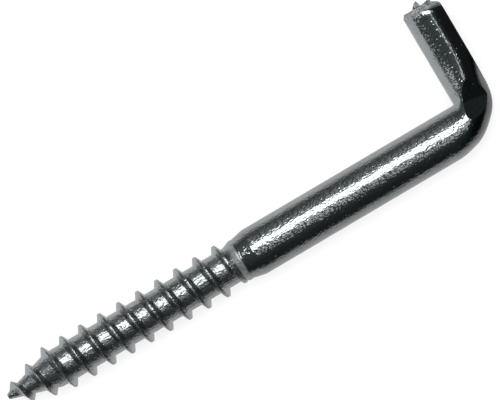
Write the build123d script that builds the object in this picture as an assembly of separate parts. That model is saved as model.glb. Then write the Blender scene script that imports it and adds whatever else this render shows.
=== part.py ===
from build123d import *
import os
from math import cos, pi, radians, sin, tan

# A square-bend screw hook, made from one length of steel wire, in millimetres.
# It lies on its side: the shank runs along X with the point at -X, the arm stands along +Y, Z is up.
# The origin is on the shank's axis, where the plain shank begins beyond the neck.

# Wire
WIRE_DIAMETER = 5.3
SHANK_LENGTH = 25.9  # plain shank, from the neck to the arm's inner side
ARM_HEIGHT = 16.0  # from the shank's underside to the arm's end
ARM_DEPTH = 4.2  # from the arm's inner side to its pressed flat

# Thread and point
THREAD_LENGTH = 29.9  # from the blunt point to the plain shank, neck included
CREST_DIAMETER = 5.5
ROOT_DIAMETER = 4.0
PITCH = 2.32
CREST_WIDTH = 0.32
FLANK_ANGLE = 60.0  # between the two flanks of one ridge, in degrees
POINT_LENGTH = 5.5
POINT_DIAMETER = 0.64
FIRST_CREST = 0.95  # from the point's end to the first crest on the +Y side
GROW_LENGTH = 1.2  # from the point's end to where the ridge has its full height
FADE_LENGTH = 2.0  # over which the ridge sinks into the neck

# Neck between the thread and the plain shank
COLLAR_DIAMETER = 4.66
COLLAR_LENGTH = 0.6
RISE_LENGTH = 0.9  # from the thread's root up to the collar
SHOULDER_LENGTH = 1.4  # from the collar up to the full wire

# Bend
BEND_RADIUS = 0.15  # in the sharp inner corner
BEND_DEPTH = 4.16  # of the wire where the bend has squeezed it
BEND_LEAD = 2.2  # length of shank that thins towards the corner
BEND_TAIL = 4.6  # length of arm that grows back to the full wire
BEND_SECTIONS = 6  # steps from one oval to the next round the corner
THIN_ANGLE = 45.0  # turn at which the wire is at its thinnest, in degrees
LEAD_SHARE = 0.39  # part of the thinning that lies in the lead
SECTION_SHARES = (0, 1 / 3, 2 / 3, 1)  # of the lead and of the tail, where their sections lie

# Driver slot in the flat
SLOT_LENGTH = 9.8
SLOT_MOUTH = 1.54
SLOT_FLOOR = 0.9
SLOT_DEPTH = 0.8
SLOT_RAMP = 1.4  # where the floor climbs out on the bend
END_MOUTH = 2.3  # of the slot on the arm's end
END_MOUTH_DEPTH = 0.7  # of that wider mouth along the arm

# Trimmed end of the arm and the burr left on it
END_RADIUS = 2.0  # of the end's face inside its bevel
END_BEVEL = 0.6  # of the bevel along the arm
END_STEP = 0.1  # from the end's face to the arm's inner side, where the bevel is narrowest
END_CORNER = 0.65  # cut off the flat's outer corner
BURR_WIDTH = 0.95
BURR_HEIGHT = 0.7
BURR_DEPTH_SHARES = (0.3, 0.39, 0.46, 0.5, 0.55, 0.74, 0.78, 0.81)  # of the arm's depth, from inside
BURR_HEIGHT_SHARES = (0.0, 0.6, 0.95, 1.0, 0.1, 0.25, 0.7, 0.0)  # of the burr's height

# Modelling values
RIGHT_ANGLE = 90.0  # the bend is square, in degrees
OVERRUN = 1.0  # of cutting bodies past the surface that they cut
SUNK = 0.1  # of one body into the next, so that both join
SPANS_PER_TURN = 6
POINTS_PER_SPAN = 2
TURNS_PAST_POINT = 2
RIDGE_LEFT_SHARE = 0.1  # of the ridge's height that is left where the ridge has run out

# Derived sizes
WIRE_RADIUS = WIRE_DIAMETER / 2
CREST_RADIUS = CREST_DIAMETER / 2
ROOT_RADIUS = ROOT_DIAMETER / 2
COLLAR_RADIUS = COLLAR_DIAMETER / 2
RIDGE_HEIGHT = CREST_RADIUS - ROOT_RADIUS
POINT_X = -THREAD_LENGTH
NECK_X = -(SHOULDER_LENGTH + COLLAR_LENGTH + RISE_LENGTH)
FLAT_X = SHANK_LENGTH + ARM_DEPTH
ARM_AXIS_X = SHANK_LENGTH + WIRE_RADIUS
ARM_END_Y = ARM_HEIGHT - WIRE_RADIUS


def between(x, places):
    """The value at x on a line drawn through places, a list of (x, value) in rising order."""
    for (x_low, low), (x_high, high) in zip(places, places[1:]):
        if x <= x_high:
            return low + (high - low) * max(x - x_low, 0) / (x_high - x_low)
    return places[-1][1]


def smooth(share):
    """An easing from 0 to 1 that starts and ends level."""
    share = min(max(share, 0), 1)
    return share * share * (3 - 2 * share)


def root_radius(x):
    return between(x, [(POINT_X, POINT_DIAMETER / 2), (POINT_X + POINT_LENGTH, ROOT_RADIUS)])


def ridge_height(x):
    """The ridge grows along the point, is full on the thread and sinks away into the neck."""
    left = RIDGE_HEIGHT * RIDGE_LEFT_SHARE
    full_from = POINT_X + GROW_LENGTH
    fade_to = NECK_X + RISE_LENGTH + COLLAR_LENGTH
    fade_from = fade_to - FADE_LENGTH
    places = [(POINT_X, left), (full_from, RIDGE_HEIGHT), (fade_from, RIDGE_HEIGHT), (fade_to, left)]
    return between(x, places)


def ridge_corners(turn):
    """The four corners of the ridge, foot to foot, after so many turns of the thread."""
    middle = POINT_X + FIRST_CREST + (turn - TURNS_PAST_POINT) * PITCH
    height = ridge_height(middle)
    half_crest = CREST_WIDTH / 2
    half_foot = half_crest + height * tan(radians(FLANK_ANGLE / 2))
    crest = root_radius(middle) + height
    corners = [
        (middle - half_foot, root_radius(middle - half_foot)),
        (middle - half_crest, crest),
        (middle + half_crest, crest),
        (middle + half_foot, root_radius(middle + half_foot)),
    ]
    angle = 2 * pi * turn
    return [Vector(x, radius * cos(angle), radius * sin(angle)) for x, radius in corners]


def helix_edge(corner, span):
    """One span of the line that a corner of the ridge follows, smooth to the spans beside it."""
    step = 1 / (SPANS_PER_TURN * POINTS_PER_SPAN)
    first = span / SPANS_PER_TURN
    last = (span + 1) / SPANS_PER_TURN
    points = [ridge_corners(first + i * step)[corner] for i in range(POINTS_PER_SPAN + 1)]
    slopes = [ridge_corners(end + step)[corner] - ridge_corners(end - step)[corner] for end in (first, last)]
    return Edge.make_spline(points, tangents=slopes)


def thread_end(turn, edges):
    """Closes the thread at a turn, with a spiral floor down to the axis and a flat step."""
    rims = [edges[0].position_at(0)] + [edge.position_at(1) for edge in edges]
    middles = [Vector(rim.X, 0, 0) for rim in rims]
    floor = []
    for edge, low, high in zip(edges, middles, middles[1:]):
        floor.append(Face.make_surface_from_curves(edge, Edge.make_line(low, high)))
    step = [middles[0]] + ridge_corners(turn) + [rims[-1]] + middles[:0:-1]
    return floor + [Face(Wire.make_polygon(step, close=True))]


def make_thread():
    """The threaded core: ridge and root as ruled faces between the helices of the ridge's corners."""
    turns = int((THREAD_LENGTH - FIRST_CREST) / PITCH) + TURNS_PAST_POINT
    spans = turns * SPANS_PER_TURN
    helices = [[helix_edge(corner, span) for corner in range(4)] for span in range(spans + SPANS_PER_TURN)]
    faces = []
    for span in range(spans):
        lines = helices[span] + [helices[span + SPANS_PER_TURN][0]]
        faces += [Face.make_surface_from_curves(low, high) for low, high in zip(lines, lines[1:])]
    faces += thread_end(0, [lines[0] for lines in helices[:SPANS_PER_TURN]])
    faces += thread_end(turns, [lines[0] for lines in helices[spans:]])
    whole = Solid(Shell(faces))
    blunt = Plane(origin=(POINT_X, 0, 0), z_dir=(1, 0, 0))
    return split(whole, bisect_by=blunt, keep=Keep.TOP)


def make_neck_and_shank():
    """Neck, shoulder and plain shank, turned about the X axis as far as the bend."""
    shank_end = SHANK_LENGTH - BEND_RADIUS - BEND_LEAD
    inside = ROOT_RADIUS - SUNK
    outline = [
        (NECK_X, 0),
        (NECK_X, inside),
        (NECK_X + RISE_LENGTH, COLLAR_RADIUS),
        (-SHOULDER_LENGTH, COLLAR_RADIUS),
        (0, WIRE_RADIUS),
        (shank_end, WIRE_RADIUS),
        (shank_end, 0),
    ]
    return revolve(make_face(Polyline(*outline, close=True)), Axis.X, 360)


def bend_section(inner, outward, along, depth):
    """The squeezed wire's oval, set out from its inner edge."""
    plane = Plane(origin=inner + outward * (depth / 2), x_dir=outward, z_dir=along)
    return plane * Ellipse(depth / 2, WIRE_RADIUS)


def bend_depth(progress):
    return WIRE_DIAMETER - (WIRE_DIAMETER - BEND_DEPTH) * smooth(progress)


def make_bend():
    """Lead, corner and tail, each lofted through ovals that share the inner edge."""
    pivot = Vector(SHANK_LENGTH - BEND_RADIUS, WIRE_RADIUS + BEND_RADIUS, 0)
    down = Vector(0, -1, 0)
    out = Vector(1, 0, 0)
    lead = []
    for share in SECTION_SHARES:
        inner = pivot + down * BEND_RADIUS - out * (BEND_LEAD * (1 - share))
        lead.append(bend_section(inner, down, out, bend_depth(LEAD_SHARE * share)))
    corner = []
    for i in range(BEND_SECTIONS + 1):
        turned = RIGHT_ANGLE * i / BEND_SECTIONS
        outward = down.rotate(Axis.Z, turned)
        along = out.rotate(Axis.Z, turned)
        progress = LEAD_SHARE + (1 - LEAD_SHARE) * turned / THIN_ANGLE
        corner.append(bend_section(pivot + outward * BEND_RADIUS, outward, along, bend_depth(progress)))
    tail = []
    for share in SECTION_SHARES:
        inner = pivot + out * BEND_RADIUS - down * (BEND_TAIL * share)
        tail.append(bend_section(inner, out, -down, bend_depth(1 - share)))
    return loft(lead) + loft(corner) + loft(tail)


def make_arm():
    """The round wire of the arm past the bend, bevelled off centre at its end."""
    start = WIRE_RADIUS + BEND_RADIUS + BEND_TAIL
    length = ARM_END_Y - start
    up = Plane(origin=(ARM_AXIS_X, start, 0), x_dir=(1, 0, 0), z_dir=(0, 1, 0))
    wire = extrude(up * Circle(WIRE_RADIUS), length)
    slope = (WIRE_RADIUS - END_RADIUS) / END_BEVEL
    shift = WIRE_RADIUS - END_RADIUS - END_STEP
    bevel = Plane(origin=(ARM_AXIS_X - shift, start, 0), x_dir=(1, 0, 0), z_dir=(0, 1, 0))
    wide = END_RADIUS + slope * length
    cone = loft([bevel * Circle(wide), bevel.offset(length) * Circle(END_RADIUS)])
    return wire & cone


def make_slot_cutter():
    """A tapered groove along the flat, open at the arm's end, with a floor that climbs out on the bend."""
    flare = (SLOT_MOUTH - SLOT_FLOOR) / 2 / SLOT_DEPTH
    out = SLOT_MOUTH / 2 + OVERRUN * flare
    section = [
        (FLAT_X - SLOT_DEPTH, SLOT_FLOOR / 2),
        (FLAT_X + OVERRUN, out),
        (FLAT_X + OVERRUN, -out),
        (FLAT_X - SLOT_DEPTH, -SLOT_FLOOR / 2),
    ]
    across = Plane(origin=(0, ARM_END_Y + OVERRUN, 0), x_dir=(1, 0, 0), z_dir=(0, -1, 0))
    groove = extrude(across * make_face(Polyline(*section, close=True)), SLOT_LENGTH + OVERRUN * 2)
    low = ARM_END_Y - SLOT_LENGTH
    climb = SLOT_RAMP / SLOT_DEPTH
    side = [
        (FLAT_X - SLOT_DEPTH, ARM_END_Y + OVERRUN),
        (FLAT_X - SLOT_DEPTH, low + SLOT_RAMP),
        (FLAT_X + OVERRUN, low - OVERRUN * climb),
        (FLAT_X + OVERRUN, ARM_END_Y + OVERRUN),
    ]
    reach = extrude(make_face(Polyline(*side, close=True)), SLOT_MOUTH + OVERRUN, both=True)
    return groove & reach


def make_mouth_cutter():
    """The groove's flared mouth on the arm's end."""
    below = ARM_END_Y - END_MOUTH_DEPTH
    above = ARM_END_Y + BURR_HEIGHT
    outline = [
        (below, -SLOT_FLOOR / 2),
        (ARM_END_Y, -END_MOUTH / 2),
        (above, -END_MOUTH / 2),
        (above, END_MOUTH / 2),
        (ARM_END_Y, END_MOUTH / 2),
        (below, SLOT_FLOOR / 2),
    ]
    floor = Plane(origin=(FLAT_X - SLOT_DEPTH, 0, 0), x_dir=(0, 1, 0), z_dir=(1, 0, 0))
    return extrude(floor * make_face(Polyline(*outline, close=True)), SLOT_DEPTH + OVERRUN)


def make_corner_cutter():
    """The wedge that is off the flat's outer corner at the arm's end."""
    outline = [
        (FLAT_X - END_CORNER, ARM_END_Y),
        (FLAT_X + OVERRUN, ARM_END_Y - END_CORNER - OVERRUN),
        (FLAT_X + OVERRUN, ARM_END_Y),
    ]
    return extrude(make_face(Polyline(*outline, close=True)), WIRE_DIAMETER, both=True)


def make_burr():
    """The torn tongue of two spikes that the wire's cutting left on the end."""
    spikes = []
    for along, up in zip(BURR_DEPTH_SHARES, BURR_HEIGHT_SHARES):
        spikes.append((SHANK_LENGTH + ARM_DEPTH * along, ARM_END_Y + BURR_HEIGHT * up))
    foot = ARM_END_Y - SUNK
    outline = [(spikes[0][0], foot)] + spikes + [(spikes[-1][0], foot)]
    return extrude(make_face(Polyline(*outline, close=True)), BURR_WIDTH / 2, both=True)


def make_press():
    """Everything on the arm's outer side that pressing the flat moves away."""
    corner = (FLAT_X, -WIRE_DIAMETER, -WIRE_DIAMETER)
    block = Box(WIRE_DIAMETER, ARM_HEIGHT + WIRE_DIAMETER * 2, WIRE_DIAMETER * 2, align=Align.MIN)
    return Pos(*corner) * block


def make_hook():
    arm = make_bend() + make_arm()
    arm -= make_press()
    arm -= make_corner_cutter()
    arm -= make_slot_cutter() + make_mouth_cutter()
    arm += make_burr()
    return make_thread() + make_neck_and_shank() + arm


os.makedirs("parts", exist_ok=True)
hook = make_hook()
export_step(hook, "parts/screw_hook.step")
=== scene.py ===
from math import atan2, cos, hypot, pi, radians, sin, sqrt, tan

import bpy
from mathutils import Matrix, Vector


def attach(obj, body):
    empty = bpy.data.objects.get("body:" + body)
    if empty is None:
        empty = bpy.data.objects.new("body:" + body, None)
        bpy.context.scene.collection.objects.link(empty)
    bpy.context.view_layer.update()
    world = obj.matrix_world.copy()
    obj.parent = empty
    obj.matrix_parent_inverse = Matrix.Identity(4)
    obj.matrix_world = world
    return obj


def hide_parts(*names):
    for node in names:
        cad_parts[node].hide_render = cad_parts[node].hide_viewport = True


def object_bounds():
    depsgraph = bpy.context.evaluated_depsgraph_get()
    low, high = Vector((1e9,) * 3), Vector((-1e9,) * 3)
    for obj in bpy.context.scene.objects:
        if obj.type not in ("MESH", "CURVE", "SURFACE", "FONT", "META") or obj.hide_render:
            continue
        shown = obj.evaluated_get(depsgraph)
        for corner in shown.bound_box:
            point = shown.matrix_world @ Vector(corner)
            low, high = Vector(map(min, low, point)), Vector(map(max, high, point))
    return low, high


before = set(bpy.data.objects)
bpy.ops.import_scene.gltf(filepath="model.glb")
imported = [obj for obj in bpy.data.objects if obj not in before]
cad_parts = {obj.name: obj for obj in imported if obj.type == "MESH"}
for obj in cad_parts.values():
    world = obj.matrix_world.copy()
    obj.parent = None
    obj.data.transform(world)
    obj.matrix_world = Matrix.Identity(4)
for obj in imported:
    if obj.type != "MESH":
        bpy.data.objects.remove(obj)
cad_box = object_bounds()

MM = 0.001  # in Blender's metres

# Sizes in millimetres: the solid's, with the thread's foot, the collar and the pressed elbow drawn finer
WIRE = 2.65  # radius of the wire
SIDES = 128  # of the round wire
SMOOTH_ANGLE = 17  # flatter edges than this, in degrees, are shaded smooth
POINT_X = -29.9
INNER_X = 25.9  # inner side of the arm
FLAT_X = 30.1  # pressed flat on the arm's outer side
FLAT_EASE = 0.04  # of the flat's edge
ARM_END = 13.35
END_BEVEL = 0.65  # of the flat's upper edge

# Neck, from the thread's root to the wire
NECK_X = -2.9
NECK_START = 1.9  # radius where the neck begins, inside the thread's root
COLLAR_X = -1.73
COLLAR = 2.38  # radius of the ring behind the thread
COLLAR_RUN = 0.35  # length of the slope up to the collar
COLLAR_RISE = 0.16  # height of that slope
SHOULDER_X = -1.4  # where the cone begins
SHOULDER_STEP = 0.04  # from the collar down to the cone
CONE_EDGE = 0.15  # from each end of the cone to the ring that keeps its side straight
SHANK_X = 0.3  # first ring of the plain shank
EASED_RINGS = (COLLAR_X, 0.12), (SHOULDER_X, 0.05), (0, 0.05)  # place of each edge, how far it is eased
EASE_STEPS = 4

# Bend, squeezed on its outer side
BEND_RADIUS = 0.15
BEND_LEAD = 2.2
BEND_TAIL = 4.6
BEND_DEPTH = 4.16  # of the wire where it is squeezed most
LEAD_SHARE = 0.39  # of the squeeze that is reached before the corner
LEAD_STEPS = 6
CORNER_STEPS = 30
TAIL_STEPS = 10
PIVOT = (INNER_X - BEND_RADIUS, WIRE + BEND_RADIUS, 0)
CORNER_PRESS = (26.57, 1.68, 2.42), (0.244, 0.196)  # a point of the elbow's pressed slope, its fall along X and Y
ARM_PRESS = (27.06, 2.95, 2.38), (0.159, -0.324)  # the slope that meets it from the arm's side
PRESS_BLOCK = 8  # edge of the block that those slopes are cut on
PRESS_PLACE = (28.5, 2.5, 5)  # the block's middle

# Arm's end: the crown's rings as way below the end, tilt and radius, the bevel's as tilt, radius and rise
CROWN_LENGTH = 2.4
CROWN = (1.4, 2.4, 2.649), (1.0, 4.3, 2.641), (0.7, 6.5, 2.625), (0.48, 8, 2.6), (0.35, 8.7, 2.565)
BEVEL = (5.2, 2.13, 0.2), (0, 1.65, 0.2)
BEVEL_X = 26.75  # where the bevel's rings draw in

# Thread
PITCH = 2.32
CREST = 2.75  # radius
ROOT = 2.0  # radius
RIDGE = CREST - ROOT
HALF_CREST = 0.13
HALF_FOOT = 0.5
FLANK_STEEP = 66.0  # of the flanks over the land, in degrees
ROOT_ARC = 0.12  # radius of the arc from land to flank
ARC_STEPS = 6
CREST_EDGE = [(HALF_CREST + 0.05, 0.885), (HALF_CREST + 0.015, 0.965), (HALF_CREST - 0.03, 1)]
CREST_SEAM = [(HALF_CREST - 0.08, 0.99), (0.03, 0.955), (0, 0.95)]  # both: off the middle, share of the height
POINT_LENGTH = 5.5
POINT_RADIUS = 0.32
TIP_LENGTH = 0.25  # of the rounded tip
TIP_ROUNDING = 0.75  # 1 would round the tip off to nothing
SHARP_LENGTH = 10.0  # from the point's end to where the crest has its full width
SHARP_SHARE = 0.7  # of the crest's width that is missing at the point
FIRST_CREST = 0.95  # from the point's end
GROW = 1.2  # length over which the ridge rises at the point
FADE = 2.0  # length over which it sinks into the neck
LEAST_RIDGE = 0.1  # share of the ridge's height at its two ends
SPARE_TURNS = 2  # wound before the point, and cut off
TURNS = 16  # wound in all
STEPS_PER_TURN = 96
WELD = 0.002  # places nearer than this are joined
THREAD_OVERLAP = 0.5  # of the thread's bar inside the cone

# Slot and its flared mouth
SLOT_LENGTH = 9.8
SLOT_DEPTH = 0.8
SLOT_RAMP = 1.4  # length of the ramp at the slot's lower end
SLOT_FLOOR = 0.9  # width
SLOT_SIDES = (0.72, 1.48), (0.14, 1.8), (0.5, 2.6)  # rise and width: tapered sides, eased edges, clear of the flat
SLOT_OVERRUN = 1.5  # of the cutter past the arm's end
MOUTH_LENGTH = 0.7
MOUTH_WIDTH = 2.3
MOUTH_OVERRUN = 0.8
CLEAR = 1  # of the mouth's cutter outside the flat

# Burr on the arm's end: share of the arm's depth, share of the height, width and sideways shift
BURR = [
    (0.3, 0.0, 0.8, 0.0), (0.35, 0.35, 0.95, 0.05), (0.39, 0.6, 0.8, -0.06), (0.43, 0.9, 0.5, 0.1),
    (0.46, 0.95, 0.55, 0.02), (0.5, 1.0, 0.24, 0.12), (0.55, 0.1, 0.6, -0.02), (0.66, 0.2, 0.7, 0.03),
    (0.74, 0.25, 0.45, -0.05), (0.775, 0.68, 0.2, -0.1), (0.8, 0.62, 0.3, -0.02), (0.82, 0.0, 0.5, 0.0),
]
BURR_FOOT = 0.15  # height of its foot, sunk into the end
BURR_HEIGHT = 0.7

# Where the plate's look changes, in millimetres along X or Y
THREAD_START_X = -1.42, -1.6
COLLAR_START_X = -2.3, -2.1
ELBOW_START_X = 27, 26.5
ARM_MIDDLE_X = 27.9, 28.3
ARM_START_Y = 2.2, 3.4
END_START_Y = 12.6, 12.75

# Plate: pits in millimetres, with their depth on each part as a share of the shank's
PIT_WIDTH = 0.2
PIT_LENGTH = 0.36
PIT_DEPTH = 0.036
THREAD_PITS = 1.65
ELBOW_PITS = 0.4
ARM_PITS = 0.75, 0.4  # on its inner and outer half
CRATER_SPACING = 0.45
CRATER_REACH = 0.3  # as a share of the spacing
CRATER_DEPTH = 0.7  # as a share of the other pits' depth
CRATER_CHOICE = 0.4, 0.7  # below the first no crater, above the second a full one
CLOUD_SIZE = 1.6
MIDDLING = 0.35, 0.65  # the part of a noise's range that counts
PLATE_COLOUR = "#979B9D"
CLOUD_COLOUR = "#8F9395"
THREAD_COLOUR = "#A0A4A6"
PLATE_ROUGHNESS = 0.1
CLOUD_ROUGHNESS = 0.03  # more than the plate's
THREAD_ROUGHNESS = 0.13  # more than the plate's
COLLAR_ROUGHNESS = 0.12  # more than the rest of the thread's
END_ROUGHNESS = 0.4  # more than the plate's
THREAD_MATT = 0.02  # share of the light that is scattered
COLLAR_MATT = 0.05
COLLAR_SPECKS = 0.14  # on average, speckled
END_SPECKS = 0.5
SPECKS = 0.1, 1.9  # least and most of that average
EDGE_TINT = (0.8, 0.8, 0.8, 1)

# Board: its glow in mirrors as stops of place, in millimetres, and level; the lower levels are painted shade,
# darker away from the hook, with a painted shadow on its -Y side
BOARD_SIZE = 12000
BOARD_COLOUR = "#F4F5F5"
BOARD_GLOW = 0.75  # share of glow in what the camera sees
BOARD_REACH = 60
BOARD_SHADE_ASIDE = [(-60, 0.35), (-20, 0.62), (-9, 0.74), (-4, 0.9), (3, 1), (12, 1), (19, 0.55), (40, 0.25)]
BOARD_SHADE_ONWARDS = [(26, 1), (32, 0.5), (40, 0.45), (52, 0.1)]

# Lights: stops of tilt, in degrees from straight up towards the arm's end, and level, with their reach along X
LAMP_PLACE = (0, 100, 1500)
LAMP_SIZE = 1600
LAMP_POWER = 34  # in watts
QUARTER = 90  # reach of the stops, in degrees
BOX_TILT = [(9, 0), (11.5, 1), (32, 1), (35.5, 0)]
BOX_LEVEL = 5.6
BOX_LEFT = -0.37, -0.29
BOX_RIGHT = 0.08, 0.18
BOX_FAR = 0.3, 0.36
BOX_FAR_SHARE = 0.25  # of the level in the box's dim end
STRIP_TILT = [(-22, 0), (-19, 0.85), (8, 0.85), (11, 0), (37, 0), (40, 0.5), (46, 0.45), (57, 0.27), (67, 0.15)]
STRIP_TILT += [(78, 0.05)]
STRIP_LEVEL = 2.1
STRIP_LEAN = 3.3  # of its middle along X, in degrees
STRIP_EDGE = 0.8, 3.2  # from its middle, in degrees
CARD_TILT = [(9, 0), (13, 1), (30, 0.7), (42, 0)]
CARD_LEVEL = 1.7
CARD_X = -0.78
CARD_EDGE = 0.12, 0.2
WALL_X = -0.991, -0.996
WALL_LEVEL = 0.9
DIM_TILT = [(-90, 0.03), (-50, 0.045), (-30, 0.085), (0, 0.11), (25, 0.15), (40, 0.22), (55, 0.17), (66, 0.15)]
DIM_TILT += [(74, 0.13), (84, 0.11), (90, 0.1)]
DIM_TINT = (0.85, 1, 0.97)
DIM_SIDE = 0.02, 0.35
DIM_SIDE_SHARE = 0.22  # of the level that is left towards the arm

# Camera
SENSOR = 36
LENS = 500
FRAME_WIDTH = 52.47
CAMERA_PLACE = (2.44, 4.91)
CAMERA_TURN = -30.53
CAMERA_REACH = 100  # in metres


def mm(*values):
    """Millimetres as Blender's metres."""
    return tuple(value * MM for value in values)


def clamp(share):
    return min(max(share, 0), 1)


def smooth(share):
    share = clamp(share)
    return share * share * (3 - 2 * share)


def choose(piece):
    """Makes one piece the only selected and the active one."""
    bpy.ops.object.select_all(action="DESELECT")
    piece.select_set(True)
    bpy.context.view_layer.objects.active = piece


def start_editing(piece):
    choose(piece)
    bpy.ops.object.mode_set(mode="EDIT")


def stop_editing():
    bpy.ops.object.mode_set(mode="OBJECT")


def face_outward():
    """Selects the whole piece in hand and turns its faces outward."""
    bpy.ops.mesh.select_all(action="SELECT")
    bpy.ops.mesh.normals_make_consistent(inside=False)


def pick_faces(piece, wanted):
    """Selects the faces whose middle, in millimetres, and normal are wanted, and nothing else."""
    bpy.ops.mesh.select_mode(type="FACE")
    bpy.ops.mesh.select_all(action="DESELECT")
    stop_editing()
    for face in piece.data.polygons:
        face.select = wanted(face.center / MM, face.normal)
    bpy.ops.object.mode_set(mode="EDIT")


def pick_edges(piece, wanted):
    """Selects the edges with both ends wanted, their places in millimetres, and nothing else."""
    bpy.ops.mesh.select_mode(type="EDGE")
    bpy.ops.mesh.select_all(action="DESELECT")
    stop_editing()
    places = [vertex.co / MM for vertex in piece.data.vertices]
    for edge in piece.data.edges:
        edge.select = all(wanted(places[i]) for i in edge.vertices)
    bpy.ops.object.mode_set(mode="EDIT")


def draw_out(along):
    """Pulls the open end of the bar on by a step in millimetres."""
    bpy.ops.mesh.extrude_region_move(TRANSFORM_OT_translate={"value": mm(*along)})


def swell(about, x=1, y=1, z=1):
    bpy.ops.transform.resize(value=(x, y, z), center_override=mm(*about))


def turn(degrees, about):
    """Turns what is selected about an upright axis, anticlockwise seen from above."""
    bpy.ops.transform.rotate(value=TURN_SIGN * radians(degrees), orient_axis="Z", center_override=mm(*about))


def find_turn_sign():
    """The turning sense of the rotate operator, which depends on there being a window."""
    bpy.ops.object.select_all(action="DESELECT")
    bpy.ops.mesh.primitive_circle_add(vertices=3, radius=1, location=(1, 0, 0))
    bpy.ops.transform.rotate(value=radians(90), orient_axis="Z", center_override=(0, 0, 0))
    sense = 1 if bpy.context.object.location.y > 0 else -1
    bpy.ops.object.delete()
    return sense


TURN_SIGN = find_turn_sign()


def cut_off(place, outward):
    """Cuts the whole piece at a plane, drops what lies outside and closes the cut."""
    bpy.ops.mesh.select_mode(type="EDGE")
    bpy.ops.mesh.select_all(action="SELECT")
    bpy.ops.mesh.bisect(plane_co=mm(*place), plane_no=outward, clear_outer=True, threshold=1e-8)
    bpy.ops.mesh.edge_face_add()
    face_outward()


def combine(piece, other, operation):
    """Cuts the other piece out of this one, or joins it on, and drops it."""
    choose(piece)
    joined = piece.modifiers.new("joined", "BOOLEAN")
    joined.operation = operation
    joined.solver = "EXACT"
    joined.object = other
    bpy.ops.object.modifier_apply(modifier="joined")
    bpy.ops.object.select_all(action="DESELECT")
    other.select_set(True)
    bpy.ops.object.delete()


def bend_depth(progress):
    """The wire's depth at a share of the way into the squeeze."""
    return 2 * WIRE - (2 * WIRE - BEND_DEPTH) * smooth(progress)


def form_wire():
    """Neck, shank, bend and arm, drawn out ring by ring from one disc."""
    bpy.ops.object.select_all(action="DESELECT")
    bpy.ops.mesh.primitive_circle_add(
        vertices=SIDES, radius=NECK_START * MM, fill_type="NGON",
        location=mm(NECK_X, 0, 0), rotation=(0, pi / 2, 0),
    )
    wire = bpy.context.object
    wire.name = "hook"
    bpy.ops.object.transform_apply(location=True, rotation=True, scale=True)
    start_editing(wire)
    bpy.ops.mesh.select_all(action="SELECT")

    # Neck and plain shank
    x, radius = NECK_X, NECK_START
    lead_x = PIVOT[0] - BEND_LEAD
    growth = (WIRE - COLLAR + SHOULDER_STEP) / SHOULDER_X
    cone_places = (SHOULDER_X, SHOULDER_X + CONE_EDGE, -CONE_EDGE, 0)
    cone = [(place, WIRE + growth * -place) for place in cone_places]
    neck = [(COLLAR_X - COLLAR_RUN, COLLAR - COLLAR_RISE), (COLLAR_X, COLLAR)] + cone
    for next_x, next_radius in neck + [(SHANK_X, WIRE), (lead_x, WIRE)]:
        draw_out((next_x - x, 0, 0))
        swell((next_x, 0, 0), y=next_radius / radius, z=next_radius / radius)
        x, radius = next_x, next_radius

    # Lead into the bend, thinner on its outer side
    depth = 2 * WIRE
    for i in range(1, LEAD_STEPS + 1):
        draw_out((BEND_LEAD / LEAD_STEPS, 0, 0))
        next_depth = bend_depth(LEAD_SHARE * i / LEAD_STEPS)
        swell((0, WIRE, 0), y=next_depth / depth)
        depth = next_depth

    # Corner, thinnest from its middle on: each ring is laid back, squeezed and turned on
    for i in range(1, CORNER_STEPS + 1):
        bpy.ops.mesh.extrude_region()
        turn(-90 * (i - 1) / CORNER_STEPS, PIVOT)
        next_depth = bend_depth(LEAD_SHARE + (1 - LEAD_SHARE) * 2 * i / CORNER_STEPS)
        swell((0, WIRE, 0), y=next_depth / depth)
        turn(90 * i / CORNER_STEPS, PIVOT)
        depth = next_depth

    # Tail, back to the round wire, and the plain arm
    for i in range(1, TAIL_STEPS + 1):
        draw_out((0, BEND_TAIL / TAIL_STEPS, 0))
        next_depth = bend_depth(1 - i / TAIL_STEPS)
        swell((INNER_X, 0, 0), x=next_depth / depth)
        depth = next_depth
    tail_end = PIVOT[1] + BEND_TAIL
    draw_out((0, ARM_END - CROWN_LENGTH - tail_end, 0))

    # Crowned end, lower on the outer side, with a bevel that is widest there
    size, down, tilt = WIRE, CROWN_LENGTH, 0
    for next_down, next_tilt, next_size in CROWN:
        draw_out((0, down - next_down, 0))
        inner = (INNER_X, ARM_END - next_down, 0)
        turn(tilt - next_tilt, inner)
        swell(inner, x=next_size / size, z=next_size / size)
        size, down, tilt = next_size, next_down, next_tilt
    for next_tilt, next_size, rise in BEVEL:
        bpy.ops.mesh.extrude_region()
        turn(tilt - next_tilt, inner)
        swell((BEVEL_X, 0, 0), x=next_size / size, z=next_size / size)
        bpy.ops.transform.translate(value=mm(0, rise, 0))
        size, tilt = next_size, next_tilt
    return wire


def finish_wire(wire):
    """Eases the neck's edges, presses the flat and bevels its upper edge."""
    face_outward()
    for ring_x, eased in EASED_RINGS:
        pick_edges(wire, lambda place: abs(place.x - ring_x) < 0.01)
        bpy.ops.mesh.bevel(offset=eased * MM, segments=EASE_STEPS, affect="EDGES")
    cut_off((FLAT_X - FLAT_EASE, 0, 0), (1, 0, 0))
    pick_faces(wire, lambda middle, normal: normal.x > 0.999 and middle.x > FLAT_X - FLAT_EASE * 2)
    bpy.ops.mesh.inset(thickness=FLAT_EASE * MM, use_even_offset=False)
    bpy.ops.transform.translate(value=mm(FLAT_EASE, 0, 0))
    cut_off((FLAT_X - END_BEVEL, ARM_END, 0), (1, 1, 0))
    stop_editing()


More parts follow.
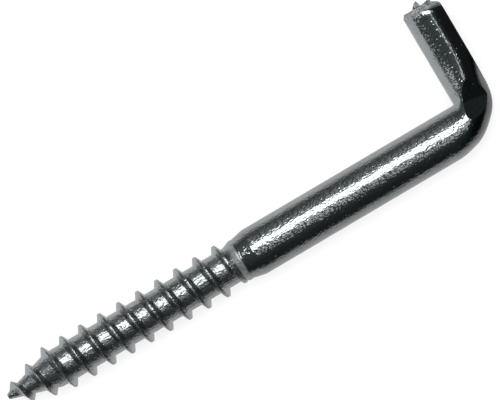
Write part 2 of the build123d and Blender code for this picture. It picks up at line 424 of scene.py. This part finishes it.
def form_press_cutter(side):
    """What sharp bending pressed off one side of the elbow: the space beyond two slopes that meet in a valley."""
    block_x, block_y, block_z = PRESS_PLACE
    bpy.ops.object.select_all(action="DESELECT")
    bpy.ops.mesh.primitive_cube_add(size=PRESS_BLOCK * MM, location=mm(block_x, block_y, block_z * side))
    cutter = bpy.context.object
    bpy.ops.object.transform_apply(location=True, rotation=True, scale=True)
    bpy.ops.object.mode_set(mode="EDIT")
    for (x, y, z), (fall_x, fall_y) in [CORNER_PRESS, ARM_PRESS]:
        cut_off((x, y, z * side), (-fall_x, -fall_y, -side))
    stop_editing()
    return cutter


def root_radius(x):
    """The land's radius, which grows from the point."""
    return POINT_RADIUS + (ROOT - POINT_RADIUS) * clamp((x - POINT_X) / POINT_LENGTH)


def ridge_height(x):
    """The ridge's height over the land, which rises at the point and sinks into the neck."""
    grown = LEAST_RIDGE + (1 - LEAST_RIDGE) * clamp((x - POINT_X) / GROW)
    left = LEAST_RIDGE + (1 - LEAST_RIDGE) * clamp((SHOULDER_X - x) / FADE)
    return RIDGE * min(grown, left)


def thread_profile():
    """One ridge between the middles of two lands: way along the axis from its crest, share of its height."""
    half = [(PITCH / 2, 0)]
    for i in range(ARC_STEPS + 1):
        angle = radians(FLANK_STEEP * i / ARC_STEPS)
        away = HALF_FOOT + ROOT_ARC * (tan(radians(FLANK_STEEP / 2)) - sin(angle))
        half.append((away, ROOT_ARC * (1 - cos(angle)) / RIDGE))
    half += CREST_EDGE + CREST_SEAM
    return [(-away, share) for away, share in half] + half[-2::-1]


def roll_thread():
    """One ridge and its land, wound on as a screw, then narrowed to the point and sunk into the neck."""
    first = POINT_X + FIRST_CREST - SPARE_TURNS * PITCH
    points = [(first + away, ROOT + RIDGE * share, 0) for away, share in thread_profile()]
    bpy.ops.object.select_all(action="DESELECT")
    bpy.ops.mesh.primitive_circle_add(vertices=3, radius=MM)
    thread = bpy.context.object
    bpy.ops.object.mode_set(mode="EDIT")
    bpy.ops.mesh.select_mode(type="VERT")
    bpy.ops.mesh.select_all(action="SELECT")
    bpy.ops.mesh.merge(type="CENTER")
    bpy.ops.transform.translate(value=mm(*points[0]))
    for place, next_place in zip(points, points[1:]):
        draw_out(Vector(next_place) - Vector(place))
    stop_editing()
    wound = thread.modifiers.new("wound", "SCREW")
    wound.axis = "X"
    wound.angle = 2 * pi
    wound.screw_offset = PITCH * MM
    wound.iterations = TURNS
    wound.steps = STEPS_PER_TURN
    wound.render_steps = STEPS_PER_TURN
    bpy.ops.object.modifier_apply(modifier="wound")
    start_editing(thread)
    bpy.ops.mesh.select_all(action="SELECT")
    bpy.ops.mesh.remove_doubles(threshold=WELD * MM)
    stop_editing()

    # Each vertex is moved by its place on the ridge and by the ridge's place along the hook
    for vertex in thread.data.vertices:
        x, y, z = vertex.co / MM
        part = atan2(z, y) / (2 * pi)
        share = (hypot(y, z) - ROOT) / RIDGE
        turns = round((x - first) / PITCH - part)
        middle = first + (turns + part) * PITCH
        height = ridge_height(middle)
        away = x - middle
        beyond = max(abs(away) - HALF_CREST, 0) / (PITCH / 2 - HALF_CREST)
        narrow = height / RIDGE
        x -= (1 if away > 0 else -1) * max(abs(away) - HALF_CREST, 0) * (1 - narrow) * (1 - beyond)
        sharp = SHARP_SHARE * clamp((POINT_X + SHARP_LENGTH - middle) / (SHARP_LENGTH - POINT_LENGTH / 2))
        x -= sharp * away * max(share - 0.5, 0) * 2
        rounded = clamp((POINT_X + TIP_LENGTH - x) / TIP_LENGTH)
        radius = (root_radius(x) + height * share) * sqrt(1 - TIP_ROUNDING * rounded * rounded)
        vertex.co = mm(x, radius * cos(part * 2 * pi), radius * sin(part * 2 * pi))
    start_editing(thread)
    cut_off((POINT_X, 0, 0), (-1, 0, 0))
    cut_off((SHOULDER_X + THREAD_OVERLAP, 0, 0), (1, 0, 0))
    stop_editing()
    return thread


def form_slot_cutter():
    """The screwdriver slot as a solid: tapered, with eased edges and a ramp at its lower end."""
    high = ARM_END + SLOT_OVERRUN
    bottom = ARM_END - SLOT_LENGTH + SLOT_RAMP
    bpy.ops.object.select_all(action="DESELECT")
    bpy.ops.mesh.primitive_plane_add(size=MM, location=(0, 0, 0))
    cutter = bpy.context.object
    bpy.ops.object.mode_set(mode="EDIT")
    bpy.ops.mesh.select_all(action="SELECT")
    bpy.ops.transform.rotate(value=radians(90), orient_axis="Y", center_override=(0, 0, 0))
    width, length = SLOT_FLOOR, high - bottom
    bpy.ops.transform.resize(value=(1, length, width))
    bpy.ops.transform.translate(value=mm(FLAT_X - SLOT_DEPTH, (high + bottom) / 2, 0))
    lift = SLOT_RAMP / SLOT_DEPTH
    for rise, next_width in SLOT_SIDES:
        draw_out((rise, 0, 0))
        next_length = length + rise * lift
        swell((0, high, 0), y=next_length / length, z=next_width / width)
        width, length = next_width, next_length
    face_outward()
    stop_editing()
    return cutter


def form_mouth_cutter():
    """The slot's flared mouth on the arm's end."""
    bpy.ops.object.select_all(action="DESELECT")
    bpy.ops.mesh.primitive_plane_add(size=MM, rotation=(pi / 2, 0, 0))
    cutter = bpy.context.object
    bpy.ops.object.transform_apply(location=True, rotation=True, scale=True)
    bpy.ops.object.mode_set(mode="EDIT")
    bpy.ops.mesh.select_all(action="SELECT")
    bpy.ops.transform.resize(value=(SLOT_DEPTH + CLEAR, 1, SLOT_FLOOR))
    bpy.ops.transform.translate(value=mm(FLAT_X + (CLEAR - SLOT_DEPTH) / 2, ARM_END - MOUTH_LENGTH, 0))
    draw_out((0, MOUTH_LENGTH, 0))
    swell((0, 0, 0), z=MOUTH_WIDTH / SLOT_FLOOR)
    draw_out((0, MOUTH_OVERRUN, 0))
    face_outward()
    stop_editing()
    return cutter


def form_burr():
    """The torn tongue of metal on the arm's end, two spikes of uneven width."""
    depth = FLAT_X - INNER_X
    foot = ARM_END - BURR_FOOT
    bpy.ops.object.select_all(action="DESELECT")
    bpy.ops.mesh.primitive_plane_add(size=MM, rotation=(0, pi / 2, 0))
    burr = bpy.context.object
    bpy.ops.object.transform_apply(location=True, rotation=True, scale=True)
    bpy.ops.object.mode_set(mode="EDIT")
    bpy.ops.mesh.select_all(action="SELECT")
    along, _, wide, shift = BURR[0]
    x, tall = INNER_X + depth * along, BURR_FOOT
    bpy.ops.transform.resize(value=(1, tall, wide))
    bpy.ops.transform.translate(value=mm(x, foot + tall / 2, 0))
    for along, up, next_wide, next_shift in BURR[1:]:
        next_x = INNER_X + depth * along
        next_tall = BURR_FOOT + BURR_HEIGHT * up
        draw_out((next_x - x, 0, next_shift - shift))
        swell((0, foot, next_shift), y=next_tall / tall, z=next_wide / wide)
        x, tall, wide, shift = next_x, next_tall, next_wide, next_shift
    face_outward()
    stop_editing()
    return burr


def make_hook():
    wire = form_wire()
    finish_wire(wire)
    combine(wire, form_slot_cutter(), "DIFFERENCE")
    combine(wire, form_mouth_cutter(), "DIFFERENCE")
    combine(wire, form_burr(), "UNION")
    for side in (1, -1):
        combine(wire, form_press_cutter(side), "DIFFERENCE")
    combine(wire, roll_thread(), "UNION")
    choose(wire)
    bpy.ops.object.shade_smooth_by_angle(angle=radians(SMOOTH_ANGLE))
    return wire


def linear(hex_colour):
    """An sRGB hex colour as linear red, green, blue and alpha."""
    parts = [int(hex_colour[i:i + 2], 16) / 255 for i in (1, 3, 5)]
    return tuple(p / 12.92 if p <= 0.04045 else ((p + 0.055) / 1.055) ** 2.4 for p in parts) + (1,)


def add(tree, kind, inputs=None, **settings):
    """A node with its settings, and its inputs set to values or linked to other nodes' outputs."""
    made = tree.nodes.new(kind)
    for name, value in settings.items():
        setattr(made, name, value)
    for name, value in (inputs or {}).items():
        if isinstance(value, bpy.types.NodeSocket):
            tree.links.new(value, made.inputs[name])
        else:
            made.inputs[name].default_value = value
    return made


def reckon(tree, operation, *values, **settings):
    """The result of a sum with values or other nodes' outputs."""
    return add(tree, "ShaderNodeMath", dict(enumerate(values)), operation=operation, **settings).outputs[0]


def spread(tree, value, span=(0.0, 1.0), to=(0.0, 1.0), kind="LINEAR"):
    """A value's way through a span as a value between two others."""
    inputs = {"Value": value, "From Min": span[0], "From Max": span[1], "To Min": to[0], "To Max": to[1]}
    return add(tree, "ShaderNodeMapRange", inputs, interpolation_type=kind).outputs["Result"]


def blend(tree, share, first, second):
    """Two colours mixed by a share of the second."""
    return add(tree, "ShaderNodeMix", {"Factor": share, 6: first, 7: second}, data_type="RGBA").outputs[2]


def ramp(tree, value, reach, stops, tint=(1, 1, 1)):
    """A ramp's colour, with stops given as a place between minus and plus the reach, and a brightness."""
    made = add(tree, "ShaderNodeValToRGB", {"Fac": value})
    elements = made.color_ramp.elements
    while len(elements) < len(stops):
        elements.new(0.5)
    for element, (place, level) in zip(elements, stops):
        element.position = place / reach / 2 + 0.5
        element.color = (*(level * part for part in tint), 1)
    return made.outputs["Color"]


def new_material(name):
    """A material with an empty node tree."""
    material = bpy.data.materials.new(name)
    material.use_nodes = True
    material.node_tree.nodes.clear()
    return material, material.node_tree


def zinc_plate():
    """Bright zinc plate over drawn steel wire: mirror-like, finely pitted along the wire, duller on the thread."""
    zinc, tree = new_material("zinc_plated_steel")
    place = add(tree, "ShaderNodeTexCoord").outputs["Object"]
    parts = add(tree, "ShaderNodeSeparateXYZ", {0: place}).outputs
    on_arm = spread(tree, parts["Y"], mm(*ARM_START_Y))
    on_thread = spread(tree, parts["X"], mm(*THREAD_START_X))
    on_collar = reckon(tree, "MULTIPLY", spread(tree, parts["X"], mm(*COLLAR_START_X)), on_thread)
    on_end = spread(tree, parts["Y"], mm(*END_START_Y))
    off_elbow = spread(tree, parts["X"], mm(*ELBOW_START_X))

    # Pits of the plating, drawn out along the wire, and coarser than the real ones so that they show
    across = 1 / (PIT_WIDTH * MM)
    along = 1 / (PIT_LENGTH * MM)
    pits = []
    for scale in [(along, across, across), (across, along, across)]:
        pit_place = add(tree, "ShaderNodeMapping", {"Vector": place, "Scale": scale}).outputs["Vector"]
        noise = {"Vector": pit_place, "Scale": 1.0, "Detail": 1.0, "Roughness": 0.5}
        pits.append(add(tree, "ShaderNodeTexNoise", noise).outputs[0])
    arm_pits = reckon(tree, "MULTIPLY", pits[1], spread(tree, parts["X"], mm(*ARM_MIDDLE_X), ARM_PITS))
    wire_pits = reckon(tree, "MULTIPLY", pits[0], spread(tree, off_elbow, to=(ELBOW_PITS, 1.0)))
    pitted = add(tree, "ShaderNodeMix", {"Factor": on_arm, "A": wire_pits, "B": arm_pits}).outputs["Result"]

    # Single deeper pits, some way apart, and none on the pressed elbow
    cells = add(tree, "ShaderNodeTexVoronoi", {"Vector": place, "Scale": 1 / (CRATER_SPACING * MM)}).outputs
    chosen = add(tree, "ShaderNodeSeparateColor", {0: cells["Color"]}).outputs["Red"]
    chosen = spread(tree, chosen, CRATER_CHOICE)
    chosen = reckon(tree, "MULTIPLY", chosen, reckon(tree, "MAXIMUM", off_elbow, on_arm))
    crater = spread(tree, cells["Distance"], (0.0, CRATER_REACH), (-CRATER_DEPTH, 0.0), "SMOOTHSTEP")
    pitted = reckon(tree, "MULTIPLY_ADD", crater, chosen, pitted)
    pitted = reckon(tree, "MULTIPLY", pitted, spread(tree, on_thread, to=(1.0, THREAD_PITS)))
    bump = add(tree, "ShaderNodeBump", {"Strength": 1.0, "Distance": PIT_DEPTH * MM, "Height": pitted})

    # Faint clouds where the plate is duller and darker
    noise = {"Vector": place, "Scale": 1 / (CLOUD_SIZE * MM), "Detail": 2.0, "Roughness": 0.5}
    cloudy = spread(tree, add(tree, "ShaderNodeTexNoise", noise).outputs[0], MIDDLING)
    colour = blend(tree, cloudy, linear(PLATE_COLOUR), linear(CLOUD_COLOUR))
    colour = blend(tree, on_thread, colour, linear(THREAD_COLOUR))
    dull = spread(tree, cloudy, to=(PLATE_ROUGHNESS, PLATE_ROUGHNESS + CLOUD_ROUGHNESS))
    for where, more in [(on_thread, THREAD_ROUGHNESS), (on_collar, COLLAR_ROUGHNESS), (on_end, END_ROUGHNESS)]:
        dull = reckon(tree, "MULTIPLY_ADD", where, more, dull)

    # The thread scatters some of the light, and the collar and the cut end more, in specks
    bright = reckon(tree, "MULTIPLY_ADD", on_thread, -THREAD_MATT, 1.0)
    bright = reckon(tree, "MULTIPLY_ADD", on_collar, -COLLAR_MATT, bright)
    specks = reckon(tree, "MULTIPLY", on_collar, -COLLAR_SPECKS)
    specks = reckon(tree, "MULTIPLY_ADD", on_end, -END_SPECKS, specks)
    bright = reckon(tree, "MULTIPLY_ADD", specks, spread(tree, pits[0], MIDDLING, SPECKS), bright)
    shader = add(
        tree, "ShaderNodeBsdfPrincipled",
        {
            "Base Color": colour, "Metallic": bright, "Roughness": dull, "Normal": bump.outputs["Normal"],
            "Specular Tint": EDGE_TINT,
        },
    )
    add(tree, "ShaderNodeOutputMaterial", {"Surface": shader.outputs[0]})
    return zinc


def white_board():
    """Matt white board under the hook, with a glow that keeps it white and leaves a faint shadow; the glow that
    mirrors show is painted darker away from the hook, a painted shade.
    """
    board, tree = new_material("matt_white_board")
    path = add(tree, "ShaderNodeLightPath").outputs
    mirrored = reckon(tree, "ADD", path["Is Glossy Ray"], path["Is Transmission Ray"])
    share = reckon(tree, "MULTIPLY_ADD", path["Is Camera Ray"], BOARD_GLOW, mirrored, use_clamp=True)

    # In mirrors the board's glow is painted darker away from the hook: painted shade, with a painted shadow on the
    # hook's -Y side and a painted dimming beyond the arm
    parts = add(tree, "ShaderNodeSeparateXYZ", {0: add(tree, "ShaderNodeTexCoord").outputs["Object"]}).outputs
    reach = mm(-BOARD_REACH, BOARD_REACH)
    aside = ramp(tree, spread(tree, parts["Y"], reach), BOARD_REACH, BOARD_SHADE_ASIDE)
    onwards = ramp(tree, spread(tree, parts["X"], reach), BOARD_REACH, BOARD_SHADE_ONWARDS)
    level = reckon(tree, "MULTIPLY", aside, onwards)
    level = add(tree, "ShaderNodeMix", {"Factor": mirrored, "A": 1.0, "B": level}).outputs["Result"]
    matt = add(tree, "ShaderNodeBsdfDiffuse", {"Color": linear(BOARD_COLOUR)})
    glow = add(tree, "ShaderNodeEmission", {"Color": (1, 1, 1, 1), "Strength": level})
    mixed = add(tree, "ShaderNodeMixShader", {0: share, 1: matt.outputs[0], 2: glow.outputs[0]})
    add(tree, "ShaderNodeOutputMaterial", {"Surface": mixed.outputs[0]})
    return board


def lay_board(floor_z):
    """The white board that the hook lies on, and a lamp for it that the plate doesn't mirror."""
    bpy.ops.object.select_all(action="DESELECT")
    bpy.ops.mesh.primitive_plane_add(size=BOARD_SIZE * MM, location=(0, 0, floor_z))
    floor = bpy.context.object
    floor.name = "floor"
    floor.data.materials.append(white_board())

    bpy.ops.object.light_add(type="AREA", location=mm(*LAMP_PLACE))
    lamp = bpy.context.object
    lamp.name = "board_light"
    lamp.data.shape = "SQUARE"
    lamp.data.size = LAMP_SIZE * MM
    lamp.data.energy = LAMP_POWER
    lamp.visible_glossy = False


def light_studio():
    """A dim studio with a long soft box overhead, a thin strip across it, a card over the point and a far wall."""
    world = bpy.data.worlds.new("studio")
    bpy.context.scene.world = world
    world.use_nodes = True
    tree = world.node_tree
    tree.nodes.clear()
    way = add(tree, "ShaderNodeSeparateXYZ", {0: add(tree, "ShaderNodeTexCoord").outputs["Generated"]}).outputs
    tilt = reckon(tree, "ARCTAN2", way["Y"], way["Z"])
    turned = spread(tree, tilt, (-pi / 2, pi / 2))

    # Long soft box, with a dim end towards the arm
    box_left = spread(tree, way["X"], BOX_LEFT, (0.0, BOX_LEVEL), "SMOOTHSTEP")
    box_right = spread(tree, way["X"], BOX_RIGHT, (1.0, 0.0), "SMOOTHSTEP")
    box_far = spread(tree, way["X"], BOX_FAR, (BOX_FAR_SHARE, 0.0))
    box_width = reckon(tree, "MULTIPLY", box_left, reckon(tree, "MAXIMUM", box_right, box_far))
    total = reckon(tree, "MULTIPLY", ramp(tree, turned, QUARTER, BOX_TILT), box_width)

    # Thin strip, in two lengths
    aside = reckon(tree, "SUBTRACT", way["X"], sin(radians(STRIP_LEAN)))
    aside = reckon(tree, "ABSOLUTE", aside)
    edge = [sin(radians(degrees)) for degrees in STRIP_EDGE]
    strip_width = spread(tree, aside, edge, (STRIP_LEVEL, 0.0), "SMOOTHSTEP")
    total = reckon(tree, "MULTIPLY_ADD", ramp(tree, turned, QUARTER, STRIP_TILT), strip_width, total)

    # White card over the point
    aside = reckon(tree, "SUBTRACT", way["X"], CARD_X)
    aside = reckon(tree, "ABSOLUTE", aside)
    card_width = spread(tree, aside, CARD_EDGE, (CARD_LEVEL, 0.0), "SMOOTHSTEP")
    total = reckon(tree, "MULTIPLY_ADD", ramp(tree, turned, QUARTER, CARD_TILT), card_width, total)

    # Far wall beyond the point, and the dim room, darker towards the arm
    total = reckon(tree, "ADD", total, spread(tree, way["X"], WALL_X, (0.0, WALL_LEVEL)))
    dim = ramp(tree, turned, QUARTER, DIM_TILT, DIM_TINT)
    dim_side = spread(tree, way["X"], DIM_SIDE, (1.0, DIM_SIDE_SHARE), "SMOOTHSTEP")
    sky = add(tree, "ShaderNodeVectorMath", {0: dim, 1: dim_side, 2: total}, operation="MULTIPLY_ADD")
    glow = add(tree, "ShaderNodeBackground", {"Color": sky.outputs["Vector"], "Strength": 1.0})
    add(tree, "ShaderNodeOutputWorld", {"Surface": glow.outputs[0]})


def aim_camera():
    """Straight down on the hook, turned so that the shank rises to the right."""
    data = bpy.data.cameras.new("camera")
    camera = bpy.data.objects.new("camera", data)
    bpy.context.scene.collection.objects.link(camera)
    data.sensor_width = SENSOR
    data.lens = LENS
    data.clip_end = CAMERA_REACH
    distance = FRAME_WIDTH * data.lens / data.sensor_width
    camera.location = mm(*CAMERA_PLACE, distance)
    camera.rotation_euler = (0, 0, radians(CAMERA_TURN))
    bpy.context.scene.camera = camera


hook = make_hook()
hook.data.materials.clear()
hook.data.materials.append(zinc_plate())
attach(hook, "root")
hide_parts("screw_hook")
lay_board(cad_box[0].z)
light_studio()
aim_camera()
bpy.context.scene.view_settings.view_transform = "Standard"
